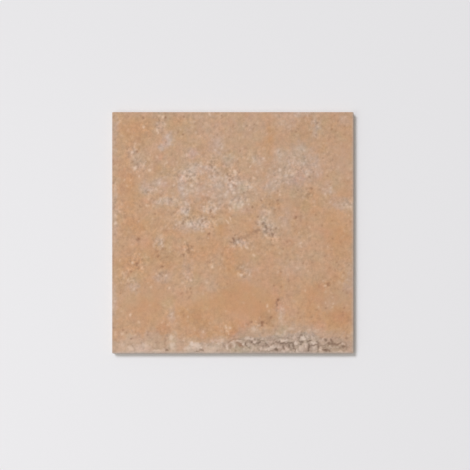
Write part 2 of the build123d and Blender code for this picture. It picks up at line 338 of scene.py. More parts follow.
# lime and mortar left along the bottom edge
bottomCrust = {
    # px, py where the thin film starts, py where it gets thick, how thick and how dark it is there
    "limit": [
        (112, 341, 349, 0.45, 0.1), (124, 339, 348, 0.5, 0.1), (130, 333, 344, 0.6, 0.1),
        (143, 336, 342, 0.75, 0.2), (146, 330, 344, 0.65, 0.2), (158, 330, 347, 0.55, 0.3),
        (162, 338, 347, 0.5, 0.3), (169, 333, 342, 0.6, 0.2), (175, 333, 342, 0.6, 0.2),
        (178, 338, 349, 0.45, 0.3), (183, 339, 346, 0.55, 0.3), (192, 339, 341, 0.85, 0.2),
        (206, 340, 342, 0.7, 0.3), (210, 336, 341, 0.7, 0.3), (224, 337, 342, 0.75, 0.4),
        (232, 337, 339, 0.66, 0.6), (240, 327, 336, 0.74, 0.7), (252, 325, 335, 0.88, 0.6),
        (262, 329, 335, 0.9, 0.7), (272, 330, 334, 0.9, 0.7), (280, 325, 333, 0.9, 0.7),
        (290, 324, 332, 0.9, 0.6), (304, 325, 331, 0.92, 0.5), (312, 326, 331, 0.92, 0.6),
        (322, 331, 336, 0.76, 0.55), (332, 332, 337, 0.66, 0.6), (342, 333, 337, 0.62, 0.6),
        (354, 334, 341, 0.6, 0.55),
    ],
    "filmStrength": 0.42,
    "fade": 5.0,  # how gently the film starts
    "heavyFade": (0.5, 0.7),  # shares of it, above and below the line where the crust gets thick
    "wander": 1.3,  # how far both lines wander
    "wanderSize": 6.0,
    "fineWander": 0.7,
    "fineSize": 2.4,
    "heavyWander": 0.7,  # share of the wander that the thick part follows
    "grain": 0.9,  # how coarse the crust is
    # pale lumps: px, py, half width, half height, strength
    "lumps": [
        (146, 345, 4.0, 3.5, 0.45), (139, 349, 5.0, 3.5, 0.35), (146, 350, 5.0, 2.5, 0.35),
        (157, 350.8, 5.5, 1.8, 0.72), (131, 349, 3.0, 3.0, 0.45), (163, 350, 2.4, 2.0, 0.45),
        (171, 338, 3.0, 3.0, 0.72), (172, 346, 3.0, 5.0, 0.75), (188, 349, 4.0, 2.6, 0.65),
        (192, 344, 3.0, 4.5, 0.9), (197, 346, 4.5, 4.0, 0.75), (201, 348, 1.6, 1.6, 0.95),
        (206, 346, 2.5, 3.5, 0.45), (212, 341, 3.0, 2.0, 0.4), (222, 341, 2.5, 2.8, 0.6),
        (218, 343.5, 1.8, 1.3, 0.8), (214, 348, 7.0, 3.5, 0.45), (227, 347, 1.5, 3.0, 0.85),
        (233, 342.5, 3.0, 1.4, 0.75), (239, 341, 3.0, 1.0, 0.6), (234, 345.5, 1.4, 2.8, 0.65),
        (243.5, 344, 1.8, 1.4, 0.8), (230, 350.5, 1.5, 1.4, 0.6), (248, 338.6, 4.0, 1.6, 0.6),
        (252, 339.5, 2.8, 1.5, 0.7), (255.5, 342, 2.0, 1.4, 0.75), (249, 345, 2.0, 1.6, 0.55),
        (244, 350, 3.0, 2.0, 0.5), (251, 350, 2.0, 1.6, 0.45), (261, 349, 2.5, 2.0, 0.5),
        (267, 349, 3.6, 1.8, 0.9), (271, 347.5, 3.0, 1.8, 0.88), (273.5, 347.3, 4.0, 2.4, 0.66),
        (279, 347, 2.6, 2.2, 0.5), (284, 340.5, 5.5, 1.3, 0.8), (283, 351, 4.0, 1.6, 0.6),
        (287, 349.5, 2.0, 2.4, 0.55), (295.5, 343, 1.7, 2.6, 0.9), (303, 338.7, 3.8, 2.6, 0.95),
        (301, 348.5, 4.0, 3.6, 0.45), (306, 345, 1.8, 3.4, 0.5), (297, 351, 2.0, 1.6, 0.7),
        (308, 338, 1.8, 1.6, 0.6), (313.5, 343, 3.6, 1.6, 0.85), (314, 348, 3.2, 2.4, 0.5),
        (313, 337.5, 2.0, 1.6, 0.4), (321, 350, 1.6, 1.8, 0.85), (331, 347.2, 3.0, 1.3, 0.45),
        (339, 351.6, 5.5, 1.0, 0.7), (337, 347, 2.0, 1.2, 0.35), (343.4, 344, 1.4, 0.9, 0.6),
        (285, 331, 2.4, 1.6, 0.5), (291, 329, 4.0, 1.6, 0.55), (316, 331, 3.0, 2.0, 0.5),
        (309, 330, 3.0, 1.6, 0.5), (277, 334, 3.0, 1.4, 0.45), (253.5, 328.5, 3.0, 4.0, 0.6),
        (259, 325.5, 2.2, 1.2, 0.55), (122, 334, 2.6, 2.0, 0.72), (217, 340.5, 6.0, 1.8, 0.45),
        (115.5, 334, 1.4, 3.0, 0.45), (139.5, 322.5, 1.8, 1.6, 0.45), (183.5, 339.5, 1.0, 1.6, 0.45),
        (123, 345, 3.0, 3.0, 0.35), (209, 351, 8.0, 1.6, 0.45),
    ],
    # dark gaps and stains, each a short stroke: width in millimetres, strength, then its pixels
    "gaps": [
        (1.8, 0.78, (275, 342.6), (280, 342)),
        (1.8, 0.9, (281, 343.2), (284, 343.4), (288, 343.2)),
        (2.0, 0.9, (289, 343.0), (291.5, 342.8), (293, 344.5), (293.8, 348)),
        (2.0, 0.92, (293.8, 348), (295, 350), (295.3, 352)),
        (2.3, 0.92, (288.8, 345), (289.8, 346.8)),
        (2.8, 0.9, (282.8, 346.4), (284, 348)),
        (3.4, 1.0, (276.6, 349.8), (277.4, 350.2)),
        (2.2, 0.7, (280.5, 350.6), (282.5, 351)),
        (1.7, 0.86, (301.5, 335.3), (302.5, 335.3)),
        (1.6, 0.69, (300.5, 336.5), (298.6, 338.5), (299, 340.5)),
        (2.3, 0.94, (299.5, 341.5), (302.4, 342.2)),
        (2.1, 1.0, (300.6, 344.5), (301.6, 344.5)),
        (1.7, 0.63, (304.5, 336), (307, 338.5), (308, 341)),
        (2.6, 1.0, (308.4, 341.2), (310.6, 340.6)),
        (2.1, 0.98, (308.2, 344.5), (309.3, 347.5), (308.6, 351.5)),
        (1.8, 0.8, (312, 345.6), (317, 345.2)),
        (2.0, 0.75, (317.3, 341.5), (318.6, 345.5), (317.8, 351)),
        (2.0, 0.63, (297.3, 345.5), (298.2, 347)),
        (1.6, 0.57, (304.3, 346), (304.8, 347.5)),
        (2.9, 0.98, (325.8, 339.6), (326.4, 340.8)),
        (2.0, 0.86, (327.4, 345), (327.8, 346)),
        (3.2, 1.0, (323.6, 349.6), (326, 350.6)),
        (2.2, 0.7, (322.5, 347.4), (325.5, 347)),
        (2.3, 0.95, (328.4, 350), (329.4, 350.8)),
        (2.4, 0.9, (328.4, 343.4), (333, 344.6), (338, 344.6), (341, 343.6)),
        (3.0, 0.85, (331.4, 338.8), (332.4, 344)),
        (1.5, 0.45, (303.4, 349), (303.9, 350)),
        (1.5, 0.5, (298.2, 349), (298.8, 350)),
        (1.8, 0.4, (320, 338), (323, 337)),
        (1.6, 0.4, (335, 338), (340, 337.5)),
        (3.0, 1.0, (342.6, 345.8), (343.8, 347)),
        (2.1, 0.52, (346.5, 337.5), (347.5, 339)),
        (2.2, 0.55, (345.6, 343.5), (346.4, 348.5)),
        (2.0, 0.5, (339, 347.4), (341.5, 349)),
        (1.8, 0.45, (320.5, 345.5), (326, 345)),
        (1.6, 0.34, (274, 340), (278, 338.4), (283, 338)),
        (1.7, 0.52, (287.5, 337.5), (289, 339)),
        (2.3, 1.0, (251.4, 342), (252.8, 342.6)),
        (1.8, 0.92, (257.4, 343.8), (259, 343.4), (260.5, 341)),
        (1.8, 0.52, (258, 340.5), (263, 340.5)),
        (2.0, 0.8, (254, 344.4), (255, 345)),
        (2.1, 0.92, (245.8, 344), (246.6, 346)),
        (2.0, 0.63, (249, 347), (250, 348.2)),
        (1.8, 0.69, (240.2, 339.5), (241, 339.5)),
        (1.4, 0.69, (255, 339.8), (255.4, 340.4)),
        (2.1, 0.69, (265.5, 343), (267.4, 345.5), (269, 346.8)),
        (1.4, 0.69, (271.2, 344), (271.8, 345)),
        (1.6, 0.57, (268, 351.3), (269.6, 351)),
        (1.6, 0.4, (259, 350), (260, 351)),
        (1.6, 0.4, (261, 347), (263, 346.6)),
        (1.7, 0.86, (197, 351), (198.6, 351)),
        (2.1, 1.0, (201, 350), (203, 351)),
        (2.1, 0.92, (165.8, 350.4), (167.2, 350.6)),
        (1.6, 0.46, (234.5, 351), (236, 351)),
        (1.7, 0.3, (150, 345), (154, 348.5), (160, 349)),
        (1.7, 0.26, (128, 344), (132, 345), (134, 347.5)),
        (1.6, 0.4, (213, 345.5), (213.5, 346.5)),
    ],
    # brown rings left beside the mortar: the same, but brown
    "rings": [
        (1.6, 0.6, (228, 343), (230, 340.6), (234, 339.4), (239, 339)),
        (1.5, 0.75, (236, 342.6), (240, 343), (242, 345), (242.4, 346)),
        (3.2, 0.95, (239.2, 344.8), (242, 346.2)),
        (1.5, 0.4, (230.8, 344.5), (230.6, 349)),
        (1.5, 0.45, (225, 345), (225.4, 349)),
        (1.6, 0.45, (230, 336), (234, 337.4)),
        (1.4, 0.4, (234, 349), (237, 351)),
        (2.4, 0.4, (165, 338), (165.4, 343), (165, 348)),
        (2.2, 0.4, (155, 342.5), (157.5, 343)),
        (2.0, 0.16, (134, 338), (142, 338)),
    ],
}

# the print rubbed thin along the arris, with painted shade along the right and bottom edges, which face away
# from the light: how much on each side, then from how many millimetres in
shadedWornRim = {
    "right": 1.0, "bottom": 1.0, "left": 0.25, "top": 0.3,
    "from": 3.2, "full": 1.0, "waver": 0.15, "waverSize": 9.0,
}

# strokes elsewhere on the face, each with its width, strength and pixels
streaks = {
    "brown": [
        (3.2, 0.36, (240, 239), (247, 235.5), (254, 232), (262, 229.5)),
        (1.6, 0.3, (243, 236.5), (250, 232.5), (258, 229.5)),
        (2.6, 0.5, (192.4, 247.6), (186.4, 250.8), (191.6, 253.2)),
        (2.2, 0.75, (276.5, 302.6), (276.6, 306.6)),
        (1.6, 0.6, (262.6, 322.5), (261.8, 326.5)),
        (1.8, 0.55, (232, 238), (235, 242)),
        (2.6, 0.35, (245, 239), (248, 236)),
    ],
    "cream": [
        (1.6, 0.75, (225.4, 326), (226.6, 330), (229, 334)),
        (1.8, 0.45, (281, 308), (280.5, 315), (281.5, 322)),
        (1.9, 0.85, (229.2, 217.4), (231.2, 221)),
        (1.9, 0.88, (226.2, 220.2), (228.8, 223.6)),
        (1.5, 0.35, (224, 217.8), (226, 216)),
        (1.8, 0.45, (215.5, 221), (219, 219.6), (223, 219)),
        (2.1, 0.95, (157, 128.2), (157.6, 130), (157.8, 133)),
        (2.0, 0.62, (160.6, 198), (159.4, 203)),
        (2.4, 0.66, (240, 243.6), (241.4, 248)),
        (2.0, 0.62, (244.6, 243.4), (246.4, 248.6)),
        (2.0, 0.6, (135.2, 142.8), (134.2, 148)),
        (1.9, 0.55, (143.6, 164.6), (145.4, 161.8)),
        (2.0, 0.58, (165, 165.4), (167, 161.8)),
        (1.8, 0.55, (115.4, 182), (115.2, 190)),
        (2.2, 0.66, (161.4, 238.4), (161.6, 244)),
        (1.9, 0.55, (122.4, 271.4), (124.2, 274), (124.4, 277.4)),
        (1.8, 0.5, (129, 280.6), (133.6, 280.4)),
        (2.0, 0.58, (203.4, 208.6), (207.6, 208)),
        (2.2, 0.6, (212.4, 212.6), (214.6, 209.8)),
        (1.8, 0.5, (145, 205.6), (149, 205.8)),
    ],
}

# one stream of random numbers for the placed specks, one for the litter between them
chance = random.Random(41)
litter = random.Random(23)


def facePitch(places, bottomToo):
    # how far apart the mesh lines are, at each place across the face
    pitch = np.full(places.shape, tileForm["gridPitch"])
    if bottomToo:
        near = np.clip((places + faceReach) / tileForm["crustReach"], 0, 1)
        soft = near ** tileForm["crustBlend"]
        pitch = tileForm["crustPitch"] * (1 - soft) + pitch * soft
    rim = np.clip((faceReach - np.abs(places)) / tileForm["rimReach"], 0, 1)
    return tileForm["rimPitch"] * (1 - rim) + pitch * rim


def faceStations(bottomToo):
    # places of the mesh lines, from that pitch
    places = np.linspace(-faceReach, faceReach, tileForm["pitchSamples"])
    steps = np.concatenate([[0], np.cumsum(np.diff(places) / facePitch(places[:-1], bottomToo))])
    return np.interp(np.linspace(0, steps[-1], round(steps[-1]) + 1), steps, places)


acrossFace = faceStations(False)
upFace = faceStations(True)
gridX, gridY = np.meshgrid(acrossFace, upFace)
print("face grid", len(acrossFace), "x", len(upFace))


def drift(size, seed, octaves=3):
    # smooth random field over the face, with a spread of 1
    increment, lacunarity = 1.0, 2.0
    flat = [
        noise.fractal((x / size, y / size, seed), increment, lacunarity, octaves)
        for x, y in zip(gridX.flat, gridY.flat)
    ]
    field = np.array(flat).reshape(gridX.shape)
    return (field - field.mean()) / field.std()


def smooth(low, high, field):
    t = np.clip((field - low) / (high - low), 0, 1)
    return t * t * (3 - 2 * t)


# how far the outlines of marks wander, and the size of each wander, in millimetres
outline = {
    "patch": {"far": 1.0, "size": 13, "fineFar": 0.9, "fineSize": 4},
    "speck": {"far": 0.32, "size": 2.6},
}


def patchWander(seed, fineSeed):
    form = outline["patch"]
    return form["far"] * drift(form["size"], seed, 2) + form["fineFar"] * drift(form["fineSize"], fineSeed, 2)


def speckWander(seed):
    return outline["speck"]["far"] * drift(outline["speck"]["size"], seed, 1)


wideX, wideY = patchWander(3.1, 5.3), patchWander(8.7, 9.9)
fineX, fineY = speckWander(12.4), speckWander(15.8)

# how a mark dies away from its middle: the more firm, the crisper its edge
markForm = {
    "patch": {"firm": 1.4, "fade": 1.0},
    "lump": {"firm": 1.6, "fade": 1.0, "wander": 2.0},
    "speck": {"firm": 1.3, "fade": 0.7, "reach": 1.6, "margin": 1.5},
    "stroke": {"firm": 1.2, "fade": 0.8, "wander": 1.5},
}


def dyingAway(away, kind):
    # away is the squared distance from the middle, in half widths of the mark
    return np.exp(-markForm[kind]["fade"] * away ** markForm[kind]["firm"])


def awayFrom(place, wanderX, wanderY):
    # that distance from one patch or lump, for every point of the face
    px, py, halfWidth, halfHeight = place
    x, y = onFace(px, py)
    return ((gridX + wanderX - x) / halfWidth) ** 2 + ((gridY + wanderY - y) / halfHeight) ** 2


def patchField(patches, signed=False):
    # ragged patches: signed ones add up, others lie over each other
    total = np.zeros(gridX.shape)
    bare = np.ones(gridX.shape)
    for *place, strength in patches:
        shape = strength * dyingAway(awayFrom(place, wideX, wideY), "patch")
        if signed:
            total += shape
        else:
            bare *= 1 - shape
    return total if signed else 1 - bare


def lumpField(lumps):
    # small lumps with a firm outline
    field = np.zeros(gridX.shape)
    wander = markForm["lump"]["wander"]
    for *place, strength in lumps:
        away = awayFrom(place, fineX * wander, fineY * wander)
        np.maximum(field, strength * dyingAway(away, "lump"), out=field)
    return field


def strokeField(strokes):
    # strokes through their pixels, each with its width and strength
    field = np.zeros(gridX.shape)
    wander = markForm["stroke"]["wander"]
    x, y = gridX + fineX * wander, gridY + fineY * wander
    for width, strength, *points in strokes:
        for start, end in zip(points, points[1:]):
            ax, ay = onFace(*start)
            bx, by = onFace(*end)
            dx, dy = bx - ax, by - ay
            along = np.clip(((x - ax) * dx + (y - ay) * dy) / (dx * dx + dy * dy), 0, 1)
            away = ((x - ax - along * dx) ** 2 + (y - ay - along * dy) ** 2) / (width / 2) ** 2
            np.maximum(field, strength * dyingAway(away, "stroke"), out=field)
    return field


def stampSpeck(field, x, y, across, strength, long, turn):
    # one speck, round or drawn out, worked out only where it reaches
    reach = markForm["speck"]["reach"] * across * long + markForm["speck"]["margin"]
    c0, c1 = np.searchsorted(acrossFace, (x - reach, x + reach))
    r0, r1 = np.searchsorted(upFace, (y - reach, y + reach))
    part = (slice(r0, r1), slice(c0, c1))
    dx, dy = gridX[part] + fineX[part] - x, gridY[part] + fineY[part] - y
    along = (dx * math.cos(turn) + dy * math.sin(turn)) / long
    aside = dy * math.cos(turn) - dx * math.sin(turn)
    away = (along ** 2 + aside ** 2) / (across / 2) ** 2
    np.maximum(field[part], strength * dyingAway(away, "speck"), out=field[part])


# how much the placed specks differ: in width, in length for that width, in degrees of turn
speckVariety = {"across": (0.85, 1.15), "long": (1.0, 1.45), "turn": (35, 145)}


def speckField(kinds, strengthName):
    field = np.zeros(gridX.shape)
    for kind in kinds.values():
        for px, py in kind["at"]:
            x, y = onFace(px, py)
            across = kind["across"] * chance.uniform(*speckVariety["across"])
            long = chance.uniform(*speckVariety["long"])
            turn = math.radians(chance.uniform(*speckVariety["turn"]))
            stampSpeck(field, x, y, across / math.sqrt(long), kind[strengthName], long, turn)
    return field


# the clay's own litter of specks, thicker and stronger where the grain is coarse
scatter = {
    "pits": {"tries": 2600, "across": (1.6, 2.8), "long": (1.0, 1.8), "strength": (0.1, 0.5)},
    "grains": {"tries": 6500, "across": (1.8, 3.0), "long": (1.0, 1.9), "strength": (0.15, 0.85)},
    "fromEdge": 1.0,
    "leastStrength": 0.4,  # share of a speck's strength that even the smoothest clay shows
    "grainPower": 1.3,  # how closely the litter keeps to coarse grain
    "leastWeight": 0.03,
    "grainsOffSalt": 0.25,  # share of the pale grains that clay without salt keeps
}


def scatterSpecks(field, setting, weight):
    inside = halfSide - scatter["fromEdge"]
    for _ in range(setting["tries"]):
        x = litter.uniform(-inside, inside)
        y = litter.uniform(-inside, inside)
        across = litter.uniform(*setting["across"])
        strength = litter.uniform(*setting["strength"])
        long = litter.uniform(*setting["long"])
        turn = litter.uniform(0, math.pi)
        keep = litter.random()
        row = min(np.searchsorted(upFace, y), len(upFace) - 1)
        column = min(np.searchsorted(acrossFace, x), len(acrossFace) - 1)
        here = weight[row, column]
        if keep < here:
            stampSpeck(field, x, y, across, strength * min(1, scatter["leastStrength"] + here), long, turn)


# clay: its grain, its salt and its tones
grainy = clayGrain["usual"] + patchField(clayGrain["coarse"]) - patchField(clayGrain["smooth"])
grainy = np.clip(grainy, clayGrain["least"], 1)
ragged = saltBloom["ragged"] * drift(saltBloom["raggedSize"], 21.0)
ragged = ragged + saltBloom["fineRagged"] * drift(saltBloom["fineSize"], 23.0, 2)
bloom = saltBloom["thickness"] * patchField(saltBloom["patches"]) * (1 + ragged)
bloom = np.clip(bloom + saltBloom["inGrain"] * grainy * ragged, 0, 1)
glow = np.clip(patchField(clayTone["warm"]), 0, 1)
shade = patchField(clayTone["shade"], signed=True)
pink = patchField(clayTone["pink"], signed=True)

# crust: a thin film that turns thick nearer the edge, both along a wandering line
limitX, filmY, heavyY, limitThick, limitDark = zip(*(
    (*onFace(px, filmFrom), onFace(px, heavyFrom)[1], thickness, darkness)
    for px, filmFrom, heavyFrom, thickness, darkness in bottomCrust["limit"]
))
wander = bottomCrust["wander"] * drift(bottomCrust["wanderSize"], 31.0)
wander = wander + bottomCrust["fineWander"] * drift(bottomCrust["fineSize"], 33.0, 2)
fade = bottomCrust["fade"]
above, below = bottomCrust["heavyFade"]
heavyWander = bottomCrust["heavyWander"] * wander
film = smooth(-fade, fade, np.interp(gridX, limitX, filmY) - gridY + wander)
heavy = smooth(-above * fade, below * fade, np.interp(gridX, limitX, heavyY) - gridY + heavyWander)
crust = np.maximum(bottomCrust["filmStrength"] * film, heavy * np.interp(gridX, limitX, limitThick))
crustDark = np.interp(gridX, limitX, limitDark)
lumps = lumpField(bottomCrust["lumps"])
gaps = strokeField(bottomCrust["gaps"])

# pits and pale grains, the placed ones first
speckWeight = np.clip(grainy ** scatter["grainPower"], scatter["leastWeight"], 1)
saltWeight = scatter["grainsOffSalt"] + (1 - scatter["grainsOffSalt"]) * bloom
hollow = speckField(pits, "dark")
scatterSpecks(hollow, scatter["pits"], speckWeight)
raised = speckField(saltGrains, "light")
scatterSpecks(raised, scatter["grains"], speckWeight * saltWeight)
brown = np.maximum(strokeField(streaks["brown"]), strokeField(bottomCrust["rings"]))
cream = strokeField(streaks["cream"])

# a greyer band along the arris: rubbed print, strongest on the right and bottom edges, where it is painted
# shade
waver = shadedWornRim["waver"] * drift(shadedWornRim["waverSize"], 61.0, 2)
rimShadeAndWear = np.maximum.reduce([
    shadedWornRim[side] * smooth(shadedWornRim["from"], shadedWornRim["full"], halfSide - towards + waver)
    for side, towards in (("right", gridX), ("left", -gridX), ("top", gridY), ("bottom", -gridY))
])

# the roughness of the whole face, and how much of a mark shows where two lie on each other
meeting = {
    "roughGrain": 0.8,
    "mottleSize": 3.0,
    "clumpSize": 3.2,
    "standOut": (0.3, 2.6),  # the part of the mottle that shows as pits and grains
    "roughPit": 0.34,
    "roughRaised": 0.42,
    "pitOverGrain": 0.75,
    "lumpOverPit": 0.8,
}
mottle = drift(meeting["mottleSize"], 41.0, 2)
clumps = drift(meeting["clumpSize"], 43.0, 2)
rough = np.maximum(grainy * meeting["roughGrain"], crust)
raised *= 1 - meeting["pitOverGrain"] * np.clip(hollow, 0, 1)
hollow = np.maximum(hollow, rough * meeting["roughPit"] * smooth(*meeting["standOut"], mottle))
raised = np.maximum(raised, rough * meeting["roughRaised"] * smooth(*meeting["standOut"], clumps))
hollow = np.maximum(hollow * (1 - meeting["lumpOverPit"] * lumps), gaps)
raised = np.maximum.reduce([raised * (1 - gaps), lumps, cream])
print("marks laid out")

# relief of the face in millimetres, never above the plane that the solid ends at
reliefForm = {
    "swells": [(0.055, 55, 51.0), (0.018, 15, 53.0), (0.01, 4.5, 55.0)],  # each: height, size, seed
    "mottle": 0.035,
    "lump": 0.1,
    "raised": 0.05,
    "hollow": 0.34,
    "gap": 0.9,  # as a share of a pit
    "brown": 0.15,
    "crust": 0.1,
    "rimFade": 2.2,
    "atRim": 0.25,  # share of the relief that is left at the arris
    "deepest": 0.9,
}
relief = sum(high * drift(size, seed, 2) for high, size, seed in reliefForm["swells"])
relief += rough * reliefForm["mottle"] * mottle
relief += reliefForm["lump"] * lumps + reliefForm["raised"] * raised
relief -= reliefForm["hollow"] * np.maximum(hollow, reliefForm["gap"] * gaps) + reliefForm["brown"] * brown
relief -= reliefForm["crust"] * crust
relief -= relief.max()
fromRim = faceReach - np.maximum(np.abs(gridX), np.abs(gridY))
relief *= reliefForm["atRim"] + (1 - reliefForm["atRim"]) * smooth(0, reliefForm["rimFade"], fromRim)
relief = np.clip(relief, -reliefForm["deepest"], 0)

# marks that go both ways lie round 0.5 in their mask, by this much for each step
maskStep = {"shade": 0.25, "pink": 0.2}
masks = {
    "glow": glow,
    "bloom": bloom,
    "shade": 0.5 + maskStep["shade"] * shade,
    "pink": 0.5 + maskStep["pink"] * pink,
    "grainy": np.maximum(grainy, bottomCrust["grain"] * crust),
    "crust": crust,
    "crustDark": crustDark,
    "hollow": hollow,
    "raised": raised,
    "brown": brown,
    # band along the arris: rubbed print, and painted shade on the right and bottom edges
    "rimShadeAndWear": rimShadeAndWear,
}


def addObject(name, data):
    item = bpy.data.objects.new(name, data)
    bpy.context.scene.collection.objects.link(item)
    return item


def roundedSquare(x, y, inset):
    # a point on the edge of the face grid, moved to the ring that lies inset from the edge land
    half = halfSide - inset
    radius = max(tileForm["cornerRound"] - inset, tileForm["leastRound"])
    x, y = x * half / faceReach, y * half / faceReach
    cx = math.copysign(half - radius, x)
    cy = math.copysign(half - radius, y)
    if abs(x) > half - radius and abs(y) > half - radius:
        away = math.hypot(x - cx, y - cy)
        x, y = cx + (x - cx) * radius / away, cy + (y - cy) * radius / away
    return x, y


def edgeSection():
    # inset and height of each ring, from below the face to the plane of the back
    faceRound, backRound = tileForm["faceRound"], tileForm["backRound"]
    taperHeight, taperInset = tileForm["taperHeight"], tileForm["taperInset"]
    section = []
    for step in range(1, tileForm["arrisSteps"] + 1):
        turn = math.radians(90 * step / tileForm["arrisSteps"])
        section.append((faceRound * (1 - math.sin(turn)), tileThick - faceRound * (1 - math.cos(turn))))
    section.append((0.0, (tileThick + taperHeight) / 2))
    section.append((0.0, taperHeight))
    lean = math.atan2(taperInset, taperHeight)
    middle = taperInset + backRound * (1 - math.sin(lean)) / math.cos(lean)
    for step in range(tileForm["backRoundSteps"] + 1):
        share = step / tileForm["backRoundSteps"]
        turn = math.radians(90) * share + lean * (1 - share)
        section.append((middle - backRound * math.cos(turn), backRound * (1 - math.sin(turn))))
    return section


def cellRing(cx, cy, half, cut):
    # the eight corners of a cell with its own corners cut off, anticlockwise
    corners = []
    for sx, sy, first in ((1, 1, True), (-1, 1, False), (-1, -1, True), (1, -1, False)):
        two = [(cx + sx * half, cy + sy * (half - cut)), (cx + sx * (half - cut), cy + sy * half)]
        corners += two if first else two[::-1]
    return corners


def layFace(bm):
    # the worn face with its relief and masks; returns the loop of points round it, and the mask layers
    layers = {name: bm.verts.layers.float.new(name) for name in masks}
    rows, columns = gridX.shape
    grid = [
        [bm.verts.new((gridX[r, c], gridY[r, c], tileThick + relief[r, c])) for c in range(columns)]
        for r in range(rows)
    ]
    for name, layer in layers.items():
        for r in range(rows):
            for c in range(columns):
                grid[r][c][layer] = masks[name][r, c]
    for r in range(rows - 1):
        for c in range(columns - 1):
            bm.faces.new((grid[r][c], grid[r][c + 1], grid[r + 1][c + 1], grid[r + 1][c]))
    right, left = [row[-1] for row in grid[:-1]], [row[0] for row in grid[:0:-1]]
    return grid[0][:-1] + right + grid[-1][:0:-1] + left, layers


def layEdge(bm, loop, layers):
    # rings down the edge; returns the last, in the plane of the back
    above = loop
    for inset, height in edgeSection():
        ring = []
        for top in loop:
            vert = bm.verts.new((*roundedSquare(top.co.x, top.co.y, inset), height))
            for layer in layers.values():
                vert[layer] = top[layer]
            ring.append(vert)
        for i, vert in enumerate(ring):
            j = (i + 1) % len(ring)
            bm.faces.new((above[i], vert, ring[j], above[j]))
        above = ring
    return above


def layBack(bm, ring):
    # the key cells, and the ribs and rim that fill the plane between them
    form = tileForm
    backSide = tileSide - 2 * form["taperInset"]
    pitch = (backSide - 2 * form["rimWidth"] + form["ribWidth"]) / form["cellsPerSide"]
    halfMouth = (pitch - form["ribWidth"]) / 2
    drawIn = form["cellDepth"] * math.tan(math.radians(form["cellDraft"]))
    floorCut = form["cellCut"] - drawIn * (2 - math.sqrt(2))
    places = [(i - (form["cellsPerSide"] - 1) / 2) * pitch for i in range(form["cellsPerSide"])]
    edges = [bm.edges.get((ring[i], ring[(i + 1) % len(ring)])) for i in range(len(ring))]
    for cy in places:
        for cx in places:
            mouth = [bm.verts.new((x, y, 0)) for x, y in cellRing(cx, cy, halfMouth, form["cellCut"])]
            floorRing = cellRing(cx, cy, halfMouth - drawIn, floorCut)
            floor = [bm.verts.new((x, y, form["cellDepth"])) for x, y in floorRing]
            for i in range(len(mouth)):
                j = (i + 1) % len(mouth)
                bm.faces.new((mouth[i], floor[i], floor[j], mouth[j]))
                edges.append(bm.edges.get((mouth[i], mouth[j])))
            bm.faces.new(floor[::-1])
    bmesh.ops.triangle_fill(bm, use_beauty=True, use_dissolve=False, edges=edges, normal=(0, 0, -1))


def buildTile():
    mesh = bpy.data.meshes.new("worn_tile")
    bm = bmesh.new()
    loop, layers = layFace(bm)
    layBack(bm, layEdge(bm, loop, layers))
    bmesh.ops.recalc_face_normals(bm, faces=bm.faces)
    bmesh.ops.scale(bm, vec=(mm, mm, mm), verts=bm.verts)
    bm.to_mesh(mesh)
    bm.free()
    mesh.shade_smooth()
    mesh.set_sharp_from_angle(angle=math.radians(tileForm["sharpFrom"]))
    return addObject("worn_tile", mesh)


tile = buildTile()
print("tile mesh:", len(tile.data.polygons), "faces")


def ink(red, green, blue):
    # 0-255 screen colour as the shader takes it
    def linear(value):
        value /= 255
        return value / 12.92 if value <= 0.04045 else ((value + 0.055) / 1.055) ** 2.4
    return (linear(red), linear(green), linear(blue), 1)


def newMaterial(name):
    material = bpy.data.materials.new(name)
    material.use_nodes = True
    return material, material.node_tree, material.node_tree.nodes["Principled BSDF"]


def addNode(tree, kind, inputs, **settings):
    node = tree.nodes.new(kind)
    for name, value in settings.items():
        setattr(node, name, value)
    for socket, value in inputs.items():
        if isinstance(value, bpy.types.NodeSocket):
            tree.links.new(value, node.inputs[socket])
        else:
            node.inputs[socket].default_value = value
    return node


# noise of the finish: size of the largest blotches in millimetres, seed, detail, roughness
clayNoise = {
    "cloud": (34, 1, 3, 0.5),
    "blotch": (11, 2, 1, 0.5),
    "blush": (13, 3, 1, 0.5),
    "dust": (14, 4, 4, 0.7),
    "printEnd": (2.6, 5, 3, 0.6),
    "veil": (9, 6, 1, 0.5),
    "crumbs": (4.8, 7, 2, 0.7),
    "sand": (1.6, 8, 3, 0.65),
    "tooth": (0.7, 9, 3, 0.6),
    "curls": (7.5, 11, 1, 0.5),
}
noiseRange = (0.3, 0.7)  # where nearly all of a noise lies


def noiseAt(tree, where, name):
    size, seed, detail, roughness = clayNoise[name]
    inputs = {"Vector": where, "Scale": 1 / (size * mm), "W": seed, "Detail": detail, "Roughness": roughness}
    return addNode(tree, "ShaderNodeTexNoise", inputs, noise_dimensions="4D").outputs["Fac"]


def spread(tree, value, low, high, toLow=0.0, toHigh=1.0):
    inputs = {"Value": value, "From Min": low, "From Max": high, "To Min": toLow, "To Max": toHigh}
    return addNode(tree, "ShaderNodeMapRange", inputs, interpolation_type="SMOOTHSTEP").outputs["Result"]


def maths(tree, operation, a, b=0.0, c=0.0, clamp=False):
    inputs = {0: a, 1: b, 2: c}
    return addNode(tree, "ShaderNodeMath", inputs, operation=operation, use_clamp=clamp).outputs[0]


def mixColour(tree, factor, a, b, how="MIX"):
    # sockets 0, 6 and 7 of a colour Mix are its factor and its two colours, and output 2 is the mixture
    inputs = {0: factor, 6: a, 7: b}
    return addNode(tree, "ShaderNodeMix", inputs, data_type="RGBA", blend_type=how).outputs[2]


def mask(tree, name):
    return addNode(tree, "ShaderNodeAttribute", {}, attribute_name=name).outputs["Fac"]


def signedMask(tree, name, perStep, middle):
    # a mask that goes both ways, as middle plus perStep for each of its steps
    gain = perStep / maskStep[name]
    return maths(tree, "MULTIPLY_ADD", mask(tree, name), gain, middle - gain / 2)


